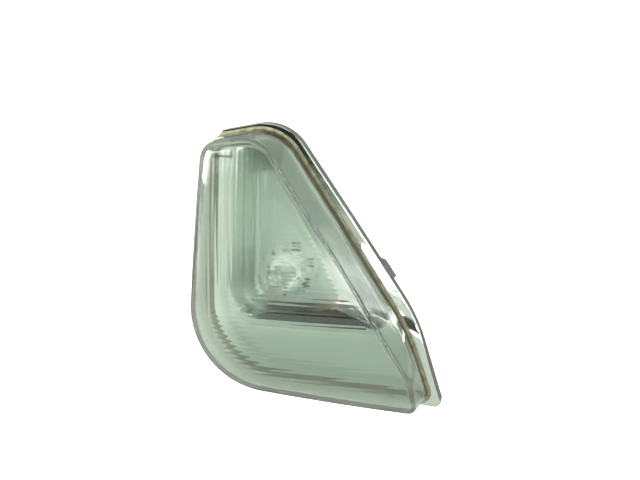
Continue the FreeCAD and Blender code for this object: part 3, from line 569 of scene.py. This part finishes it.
def housingRings():
    # one closed profile carried round the outline: rim, flange, sealant channel, ledge, bowl,
    # bore, and back again behind them to the skirt
    v = housingValues
    counts = v["counts"]
    rings = []
    fall = shelfFall()
    for turn in np.linspace(0, math.pi / 2, v["rimSteps"]):
        rings.append(lift(fourSides(rimCorners, -v["rimRound"] * (1 - math.cos(turn)), counts),
                          fall + v["rimRound"] * (1 - math.sin(turn))))
    sealEdge = lift(fourSides(footCorners, v["channelOut"], counts), 0.0)
    rings += list(rings[-1] + (sealEdge - rings[-1]) * np.linspace(0, 1, v["shelfSteps"])[1:, None, None])
    for outset, y in ((v["channelOut"], v["channelDepth"]), (-v["channelIn"], v["channelDepth"]),
                      (-v["channelIn"], 0.0)):
        rings.append(lift(fourSides(footCorners, outset, counts), y))
    ledgeStart = len(rings) - 1
    bottomFirst = counts[0] + counts[1]
    mouth = lift(fourSides(mouthCorners, 0.0, counts), 0.0)
    ledge = lift(fourSides(mouthCorners, v["mouthSoftness"], counts), 0.0)
    floor = lift(fourSides(floorCorners, 0.0, counts), v["bowlDepth"])
    top, bottom = towards(mouth, floor, v["mouthSoftness"]), towards(floor, mouth, v["floorSoftness"])
    rings += list(bezier(ledge, mouth, top, v["softSteps"]))
    rings += list(top + (bottom - top) * np.linspace(0, 1, v["wallSteps"])[1:-1, None, None])
    floorStart = len(rings)
    flat = lift(fourSides(floorCorners, -v["floorSoftness"], counts), v["bowlDepth"])
    rings += list(bezier(bottom, floor, flat, v["softSteps"]))
    edge = lift(boreOutline(v["boreRadius"] + v["boreEdge"]), v["bowlDepth"])
    rings += list(flat + (edge - flat) * np.linspace(0, 1, v["floorSteps"])[1:, None, None])
    back = v["bowlDepth"] + v["bowlWall"]
    rings.append(lift(boreOutline(v["boreRadius"]), v["bowlDepth"] + v["boreEdge"]))
    metallised = len(rings)
    rings.append(lift(boreOutline(v["boreRadius"]), back))
    behindFloor = lift(fourSides(floorCorners, v["bowlWall"], counts), back)
    behindMouth = lift(fourSides(mouthCorners, v["bowlWall"], counts), v["flange"])
    rings.append(lift(fourSides(floorCorners, 0.0, counts), back))
    backEdge = lift(fourSides(floorCorners, v["bowlWall"] - v["backRound"], counts), back)
    backWall = towards(behindFloor, behindMouth, v["backRound"])
    rings += list(bezier(backEdge, behindFloor, backWall, v["backSteps"]))
    rings.append(towards(behindMouth, behindFloor, v["backRound"]))
    rings.append(lift(fourSides(mouthCorners, v["bowlWall"] + v["backFlare"], counts), v["flange"]))
    inside = fourSides(rimCorners, -v["skirtWall"], counts)
    outside = fourSides(rimCorners, 0.0, counts)
    cutAway = (outside[:, 0] > v["tailX"]) & (outside[:, 1] < v["tailZ"])
    depth = np.where(cutAway, v["flange"], v["skirtDepth"])
    rings += [lift(inside, v["flange"]), lift(inside, depth), lift(outside, depth)]
    walls = slice(ledgeStart + v["maskRings"], floorStart + v["maskRings"])
    bottomSteps = slice(bottomFirst, bottomFirst + counts[2])
    covered = {"metallised": (slice(v["bareRings"], metallised), slice(None)),
               "satin": (slice(ledgeStart, metallised), slice(None)),
               "bottomWall": (walls, bottomSteps),
               "slantWall": (walls, slice(counts[0] + v["maskSteps"], bottomFirst))}
    masks = {}
    for name, place in covered.items():
        masks[name] = np.zeros((len(rings), sum(counts)))
        masks[name][place] = 1.0
    return np.array(rings), masks


def housingIslands():
    # what stands on the back and side of the housing, each a closed body sunk a little into it
    v = housingValues
    sink = v["sink"]
    flangeBack, floorBack = v["flange"] - sink, v["bowlDepth"] + v["bowlWall"] - sink
    outside, inside, end = v["channelRidge"]
    rings = np.array([lift(fourSides(footCorners, outset, v["counts"]), y) for outset, y in
                      ((outside, flangeBack), (-inside, flangeBack), (-inside, end), (outside, end))])
    bodies = [(rings.reshape(-1, 3), stripFaces(rings.shape[0], rings.shape[1], closed=True).tolist())]
    inner, outer, end = v["collar"]
    steps = v["collarSteps"]
    angle = np.linspace(0, 2 * math.pi, steps, endpoint=False)
    circle = np.stack([np.cos(angle), -np.sin(angle)], axis=1)
    rings = np.array([lift(radius * circle, y) for radius, y in
                      ((outer, floorBack), (inner, floorBack), (inner, end - sink), (inner + sink, end),
                       (outer - sink, end), (outer, end - sink))])
    bodies.append((rings.reshape(-1, 3), stripFaces(rings.shape[0], steps, closed=True)[:, ::-1].tolist()))
    near, far, low, high, front, back = v["stop"]
    block = np.array([(near, low), (near, high), (far, high), (far, low)])
    for place in v["lockAngles"]:
        turn = math.radians(place)
        spin = np.array([[math.cos(turn), math.sin(turn)], [-math.sin(turn), math.cos(turn)]])
        bodies.append(softPrism(block @ spin, front, back, sink))
    (middleX, middleZ), (bendX, bendZ) = rimCorners[2][:2], rimCorners[3][:2]
    way = np.array([bendX - middleX, bendZ - middleZ]) / math.hypot(bendX - middleX, bendZ - middleZ)
    out = np.array([-way[1], way[0]])
    latch = np.array(v["latch"])
    base = (np.array([middleX, middleZ]) - latch) @ out
    half, rise = v["latchLength"] / 2, base + v["latchRise"]
    root = base - v["skirtWall"] / 2
    corners = [(-half, root), (-half, base), (-half + v["latchRamp"], rise), (half, rise), (half, root)]
    flat = np.array([latch + way * run + out * height for run, height in corners])
    bodies.append(softPrism(flat, *v["latchDepth"], v["latchEdge"]))
    radius, end, hole = v["bossRadius"], v["bossEnd"], v["pilotRadius"]
    bodies.append(turnedBody([(radius, flangeBack), (radius, end - sink), (radius - sink, end),
                              (hole + sink, end), (hole, end - sink), (hole, v["pilotEnd"])], v["boss"]))
    radius, end = v["pegRadius"], v["pegEnd"]
    bodies.append(turnedBody([(radius + sink, flangeBack), (radius + sink, v["flange"] + sink),
                              (radius, v["flange"] + 2 * sink), (radius, end),
                              (radius - v["pegLead"], end + v["pegLead"])], v["peg"]))
    for i in range(v["ribCount"]):
        left = v["ribFirst"] + i * v["ribPitch"]
        right = left + v["ribThickness"]
        flat = np.array([(left, v["ribBottom"]), (left, v["ribTop"]), (right, v["ribTop"]),
                         (right, v["ribBottom"])])
        bodies.append(softPrism(flat, flangeBack, v["ribEnd"], sink))
    return bodies


def buildHousing():
    rings, masks = housingRings()
    points = [rings.reshape(-1, 3)]
    faces = stripFaces(rings.shape[0], rings.shape[1], closed=True).tolist()
    count = len(points[0])
    for more, itsFaces in housingIslands():
        points.append(more)
        faces += [[count + corner for corner in face] for face in itsFaces]
        count += len(more)
    piece = meshPiece("reflectorHousing", np.vstack(points), faces, "housing")
    for name, values in masks.items():
        onPoints = np.zeros(count)
        onPoints[:values.size] = values.ravel()
        piece.data.attributes.new(name, "FLOAT", "POINT").data.foreach_set("value", onPoints)
    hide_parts("reflector_housing")
    return piece


def chromeFinish():
    # vacuum metallising on the front, running out over the rim; bare grey plastic behind
    v = housingValues
    finish = Finish("vacuumMetallising", Metallic=1.0, Roughness=v["polish"], Specular_Tint=v["edgeTint"])
    x, y, z = finish.axes()
    front, satin = finish.mask("metallised"), finish.mask("satin")
    bottom, slant = finish.mask("bottomWall"), finish.mask("slantWall")
    cloud = finish.noise(*v["cloudNoise"])
    fine = finish.noise(*v["fineNoise"])
    coated = finish.rise(front + (fine - 0.5) * v["coatingEdge"], *v["coatingRange"])
    # the bottom wall and the slanting wall's lower corner are polished, the rest of the bowl is satin
    dulled = satin * (1 - bottom) * (1 - slant * finish.rise(z, *v["polishedCorner"]))
    shiny = finish.mix(dulled, v["polish"], v["satin"])
    shiny = shiny + cloud * v["cloudRoughness"] + fine * v["fineRoughness"]
    # a painted highlight on the slanting wall, white and less metallic, widening downwards, with a level
    # scratch across it
    paintedHighlight = slant * finish.rise(z - cloud * v["paintedHighlightWander"], *v["paintedHighlightTop"])
    paintedHighlight = paintedHighlight * finish.rise(z + fine, *v["paintedHighlightBottom"])
    height = z + cloud * v["scratchWander"]
    scratch = finish.rise(height, *v["scratchLow"]) * finish.rise(height, *v["scratchHigh"])
    paintedHighlight = paintedHighlight * (1 - scratch * v["scratchShare"])
    finish.feed("Metallic", coated * (1 - paintedHighlight * v["paintedHighlightWhite"]))
    finish.feed("Roughness", finish.mix(coated, v["bareRoughness"] + fine * v["bareFine"], shiny))
    # painted shade: the bowl behind the ledge is painted darker than the ledge
    mirror = finish.blend(finish.rise(y, *v["bowlBehind"]), v["ledgeTone"], v["bowlShadeTone"])
    # painted highlight: the slanting wall is painted lighter
    mirror = finish.blend(slant, mirror, v["slantHighlightTone"])
    # painted shade: the ledge is painted darker towards the bottom
    lowShade = finish.rise(z + cloud * v["lowShadeWander"], *v["lowShadeBelow"])
    lowShade = lowShade * finish.rise(y, *v["lowShadeAhead"]) * satin
    mirror = finish.blend(lowShade, mirror, v["lowShadeTone"])
    mirror = finish.blend(paintedHighlight, mirror, v["paintedHighlightTone"])
    # painted shade: the shelf outside the sealant is painted darker on its upper half
    shelf = front * (1 - satin) * finish.rise(z, *v["shelfAbove"])
    mirror = finish.blend(shelf * v["shelfShare"], mirror, v["shelfShadeTone"])
    # painted dark reflection: the bowl's bottom wall is painted near black, most of all at its right end,
    # with a brown patch in it
    darkReflection = finish.blend(finish.rise(x + cloud * v["darkReflectionWander"], *v["darkReflectionDarkens"]), *v["darkReflectionTones"])
    place = x + cloud * v["brownWander"]
    brown = finish.rise(place, *v["brownFrom"]) * finish.rise(place, *v["brownTo"])
    darkReflection = finish.blend(brown * finish.rise(y, *v["brownBehind"]), darkReflection, v["brownTone"])
    darkened = bottom * finish.rise(x + fine * v["fineWander"], *v["darkReflectionFrom"]) * v["darkReflectionShare"]
    mirror = finish.blend(darkened, mirror, darkReflection)
    # painted shade: the slanting wall's lower right corner is painted near black
    corner = slant * finish.rise(z + fine * v["fineWander"], *v["cornerBelow"])
    corner = corner * finish.rise(x, *v["cornerFrom"])
    mirror = finish.blend(corner * v["cornerShadeShare"], mirror, v["cornerShadeTone"])
    bare = finish.blend(finish.rise(cloud, *v["bareRange"]), *v["bareTones"])
    finish.feed("Base Color", finish.blend(coated, bare, mirror))
    finish.bump(cloud + fine * v["bumpFine"], v["bumpDepth"])
    return finish.material


housing = buildHousing()
housing.data.materials.append(chromeFinish())
print("housing built:", len(housing.data.polygons), "faces")


# Sealant

sealantValues = {
    "steps": (120, 320, 220, 220),
    # outset from the foot's outline and depth, round the section from its inner edge
    "section": [(-3.9, 0.0), (-3.4, -0.05), (-2.4, -0.08), (-0.9, -0.25), (0.0, -0.7), (0.35, -0.7),
                (0.7, -0.55), (0.95, -0.25), (1.1, 0.0), (1.1, 1.7), (-3.9, 1.7)],
    # waves round the foot, phase and size; the height's waves have other numbers and phases
    "waves": [(7, 0.4, 0.30), (17, 1.9, 0.25), (31, 3.1, 0.20), (58, 0.7, 0.16), (97, 2.2, 0.12)],
    "otherNumber": 4, "otherPhase": 2.3, "widthWander": 0.28, "heightWander": 0.25,
    "darkWithin": -0.5,
    # finish; each noise is waves for each millimetre, detail and roughness
    "darkTone": (0.13, 0.115, 0.05, 1.0), "lightTone": (0.25, 0.25, 0.155, 1.0),
    "patchNoise": (0.3, 5.0, 0.7), "patchRange": (0.38, 0.62),
    "edgeTone": (0.045, 0.035, 0.015, 1.0), "edgeWander": 1.6, "edgeRange": (0.3, 0.7),
    "roughness": 0.3, "patchRoughness": 0.3, "bumpNoise": (0.8, 3.0), "bumpDepth": 0.2,
}


def buildSealant():
    # a bead's section carried round the foot, its width and height wandering with a few waves
    v = sealantValues
    around = sum(v["steps"])
    place = np.linspace(0, 2 * math.pi, around, endpoint=False)
    width = sum(size * np.sin(number * place + phase) for number, phase, size in v["waves"])
    height = sum(size * np.sin((number + v["otherNumber"]) * place + v["otherPhase"] * phase)
                 for number, phase, size in v["waves"])
    middle = fourSides(footCorners, 0.0, v["steps"])
    rings = []
    for outset, y in v["section"]:
        free = 0.0 if y >= 0 else 1.0
        flat = fourSides(footCorners, outset, v["steps"])
        flat = middle + (flat - middle) * (1 + v["widthWander"] * free * width)[:, None]
        rings.append(lift(flat, y * (1 + v["heightWander"] * free * height)))
    rings = np.array(rings)[::-1]
    faces = stripFaces(rings.shape[0], rings.shape[1], closed=True)
    piece = meshPiece("sealantBead", rings.reshape(-1, 3), faces, "housing")
    inner = [1.0 if outset < v["darkWithin"] else 0.0 for outset, y in v["section"]]
    inner = np.repeat(inner[::-1], around)
    piece.data.attributes.new("innerEdge", "FLOAT", "POINT").data.foreach_set("value", inner)
    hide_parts("sealant_bead")
    return piece


def sealantFinish():
    v = sealantValues
    finish = Finish("oliveSealant", Base_Color=v["darkTone"], Roughness=v["roughness"])
    patchy = finish.noise(*v["patchNoise"])
    tone = finish.blend(finish.rise(patchy, *v["patchRange"]), v["darkTone"], v["lightTone"])
    edge = finish.rise(finish.mask("innerEdge") + (patchy - 0.5) * v["edgeWander"], *v["edgeRange"])
    finish.feed("Base Color", finish.blend(edge, tone, v["edgeTone"]))
    finish.feed("Roughness", v["roughness"] + patchy * v["patchRoughness"])
    finish.bump(finish.noise(*v["bumpNoise"]), v["bumpDepth"])
    return finish.material


sealant = buildSealant()
sealant.data.materials.append(sealantFinish())
print("sealant built")


# Finishes of the pieces that keep their CAD form

keptValues = {
    # lighter tone, darker tone, roughness and depth of the grain
    "greyNylon": ((0.72, 0.77, 0.71, 1.0), (0.64, 0.69, 0.63, 1.0), 0.4, 0.03),
    "blackRubber": ((0.02, 0.02, 0.02, 1.0), (0.035, 0.035, 0.035, 1.0), 0.6, 0.04),
    "tinnedBrass": ((0.78, 0.68, 0.45, 1.0), (0.62, 0.52, 0.32, 1.0), 0.25, 0.02),
    "plainWire": ((0.6, 0.6, 0.6, 1.0), (0.45, 0.45, 0.46, 1.0), 0.3, 0.02),
    # each noise is waves for each millimetre, detail, roughness and stretch
    "patchNoise": (0.15, 3.0), "grainNoise": (6.0, 2.0), "drawnNoise": (0.6, 3.0, 0.6, (6, 0.5, 6)),
    "patchRange": (0.35, 0.7), "patchRoughness": 0.15,
    "glassTone": (0.97, 0.98, 0.97, 1.0), "glassRefraction": 1.5, "glassSolidness": 0.35,
    "glassRoughness": 0.005, "glassCloudRoughness": 0.02, "glassNoise": (0.1, 2.0), "glassDepth": 0.05,
}


def patchyFinish(name, metallic, patchNoise, grainNoise):
    v = keptValues
    light, dark, roughness, grain = v[name]
    finish = Finish(name, Base_Color=light, Roughness=roughness, Metallic=metallic)
    patchy = finish.noise(*v[patchNoise])
    finish.feed("Base Color", finish.blend(finish.rise(patchy, *v["patchRange"]), light, dark))
    finish.feed("Roughness", roughness + patchy * v["patchRoughness"])
    finish.bump(finish.noise(*v[grainNoise]), grain)
    return finish.material


def mouldedFinish(name):
    return patchyFinish(name, 0.0, "patchNoise", "grainNoise")


def metalFinish(name):
    return patchyFinish(name, 1.0, "drawnNoise", "drawnNoise")


def bulbFinish():
    v = keptValues
    finish = Finish("bulbGlass", Base_Color=v["glassTone"], Transmission_Weight=1.0, IOR=v["glassRefraction"],
                    Roughness=v["glassRoughness"], Alpha=v["glassSolidness"])
    cloud = finish.noise(*v["glassNoise"])
    finish.feed("Roughness", v["glassRoughness"] + cloud * v["glassCloudRoughness"])
    finish.bump(cloud, v["glassDepth"])
    return finish.material


greyNylon, blackRubber = mouldedFinish("greyNylon"), mouldedFinish("blackRubber")
brass, wire = metalFinish("tinnedBrass"), metalFinish("plainWire")
for node, finish in (("bulb_holder", greyNylon), ("holder_gasket", blackRubber), ("terminal_left", brass),
                     ("terminal_right", brass), ("bulb_glass", bulbFinish()), ("bulb_lead_left", wire),
                     ("bulb_lead_right", wire), ("bulb_filament", wire)):
    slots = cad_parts[node].data.materials
    slots.clear()
    slots.append(finish)
print("finishes assigned")


# Stage, light and camera

white = (1.0, 1.0, 1.0, 1.0)
stageValues = {
    "azimuth": 14.0, "elevation": 12.0, "distance": 0.627, "clipStart": 0.01,
    "target": (0.018, 0.0, 0.008), "focalPixels": 1400.0, "targetPixel": (318.0, 262.0),
    "sensor": 36.0, "width": 640.0, "height": 480.0, "bounces": 32, "glossyBounces": 16,
    "floorZ": -0.100, "floorRadius": 14.0, "floorSteps": 96, "glowBehind": (-0.10, 0.0),
    "floorGlow": (0.9, 0.9, 0.9, 1.0), "floorPale": (0.92, 0.92, 0.92, 1.0),
    "floorDark": (0.05, 0.05, 0.05, 1.0), "floorRoughness": 0.7, "floorGrain": 0.2, "floorNoise": (0.02, 2.0),
    # tones that the lamp reflects and refracts: of the floor, and of the room low down and high up
    "floorFront": (0.56, 0.62, 0.54, 1.0), "floorBehind": (0.42, 0.49, 0.40, 1.0),
    "frontTones": ((0.05, 0.06, 0.05, 1.0), (0.60, 0.65, 0.61, 1.0)), "frontHeights": (0.70, 0.95),
    "behindTones": ((0.34, 0.40, 0.33, 1.0), (0.58, 0.65, 0.57, 1.0)), "behindHeights": (0.15, 0.60),
    "behindFrom": (-0.1, 0.35),
    # place, aim, size and power of each light
    "lights": {"overhead": ((0.0, -0.5, 1.5), (0, -0.5, 0), (1.2, 0.8), 6.0),
               "nearCamera": ((0.30, -1.05, 0.12), (0.03, 0, 0), (0.22, 0.26), 2.0),
               "leftFront": ((-1.15, -0.6, 0.5), (0, 0, 0), (0.9, 0.9), 60.0),
               "ridgeStrip": ((1.0, -0.67, 0.58), (0, 0, 0), (0.3, 1.2), 11.0)},
}


def buildFloor():
    # a pale table that glows: the camera sees its glow near white; the lamp reflects and refracts its grey
    # green glow, and it reflects little light of its own
    v = stageValues
    angle = np.linspace(0, 2 * math.pi, v["floorSteps"], endpoint=False)
    rim = np.stack([v["floorRadius"] * np.cos(angle), v["floorRadius"] * np.sin(angle),
                    np.full(len(angle), v["floorZ"])], axis=1)
    mesh = bpy.data.meshes.new("floor")
    mesh.from_pydata(rim.tolist(), [], [list(range(len(angle)))])
    floor = bpy.data.objects.new("floor", mesh)
    bpy.context.scene.collection.objects.link(floor)
    finish = Finish("paleFloor", Base_Color=v["floorPale"], Roughness=v["floorRoughness"],
                    Emission_Strength=1.0)
    finish.feed("Roughness", v["floorRoughness"] + finish.noise(*v["floorNoise"]) * v["floorGrain"])
    behind = finish.rise(finish.axes()[1] * mm, *v["glowBehind"])
    around = finish.blend(behind, v["floorFront"], v["floorBehind"])
    seen = finish.seenByCamera()
    finish.feed("Emission Color", finish.blend(seen, around, v["floorGlow"]))
    finish.feed("Base Color", finish.blend(seen, v["floorDark"], v["floorPale"]))
    mesh.materials.append(finish.material)


def softLight(name, place, aim, size, power):
    light = bpy.data.lights.new(name, "AREA")
    light.shape = "RECTANGLE"
    light.size, light.size_y = size
    light.energy = power
    lamp = bpy.data.objects.new(name, light)
    lamp.location = place
    lamp.rotation_euler = (Vector(aim) - Vector(place)).to_track_quat("-Z", "Y").to_euler()
    bpy.context.scene.collection.objects.link(lamp)


def buildWorld():
    # white where the camera sees it; to the lamp, a light room behind it and a dim one in front
    # that gets lighter towards the ceiling
    v = stageValues
    world = bpy.data.worlds.new("studio")
    bpy.context.scene.world = world
    world.use_nodes = True
    studio = Graph(world.node_tree)
    _, depth, height = studio.split(studio.node("ShaderNodeTexCoord", output="Generated"))
    front = studio.blend(studio.rise(height, *v["frontHeights"]), *v["frontTones"])
    behind = studio.blend(studio.rise(height, *v["behindHeights"]), *v["behindTones"])
    room = studio.blend(studio.rise(depth, *v["behindFrom"]), front, behind)
    shown = studio.blend(studio.seenByCamera(), room, white)
    studio.tree.links.new(shown.socket, studio.tree.nodes["Background"].inputs["Color"])


def buildCamera():
    # stands where the photo was taken from, and the shift puts the target on its pixel
    v = stageValues
    azimuth, elevation = math.radians(v["azimuth"]), math.radians(v["elevation"])
    back = Vector((math.sin(azimuth) * math.cos(elevation), -math.cos(azimuth) * math.cos(elevation),
                   math.sin(elevation)))
    data = bpy.data.cameras.new("camera")
    data.sensor_width = v["sensor"]
    data.lens = v["focalPixels"] * v["sensor"] / v["width"]
    data.shift_x = (v["width"] / 2 - v["targetPixel"][0]) / v["width"]
    data.shift_y = (v["targetPixel"][1] - v["height"] / 2) / v["width"]
    data.clip_start = v["clipStart"]
    camera = bpy.data.objects.new("camera", data)
    camera.location = Vector(v["target"]) + back * v["distance"]
    camera.rotation_euler = (-back).to_track_quat("-Z", "Y").to_euler()
    bpy.context.scene.collection.objects.link(camera)
    bpy.context.scene.camera = camera


def setRendering():
    v = stageValues
    scene = bpy.context.scene
    scene.view_settings.view_transform = "Standard"
    scene.cycles.max_bounces = v["bounces"]
    scene.cycles.transmission_bounces = v["bounces"]
    scene.cycles.transparent_max_bounces = v["bounces"]
    scene.cycles.glossy_bounces = v["glossyBounces"]


buildFloor()
buildWorld()
for name, settings in stageValues["lights"].items():
    softLight(name, *settings)
buildCamera()
setRendering()
print("stage built")
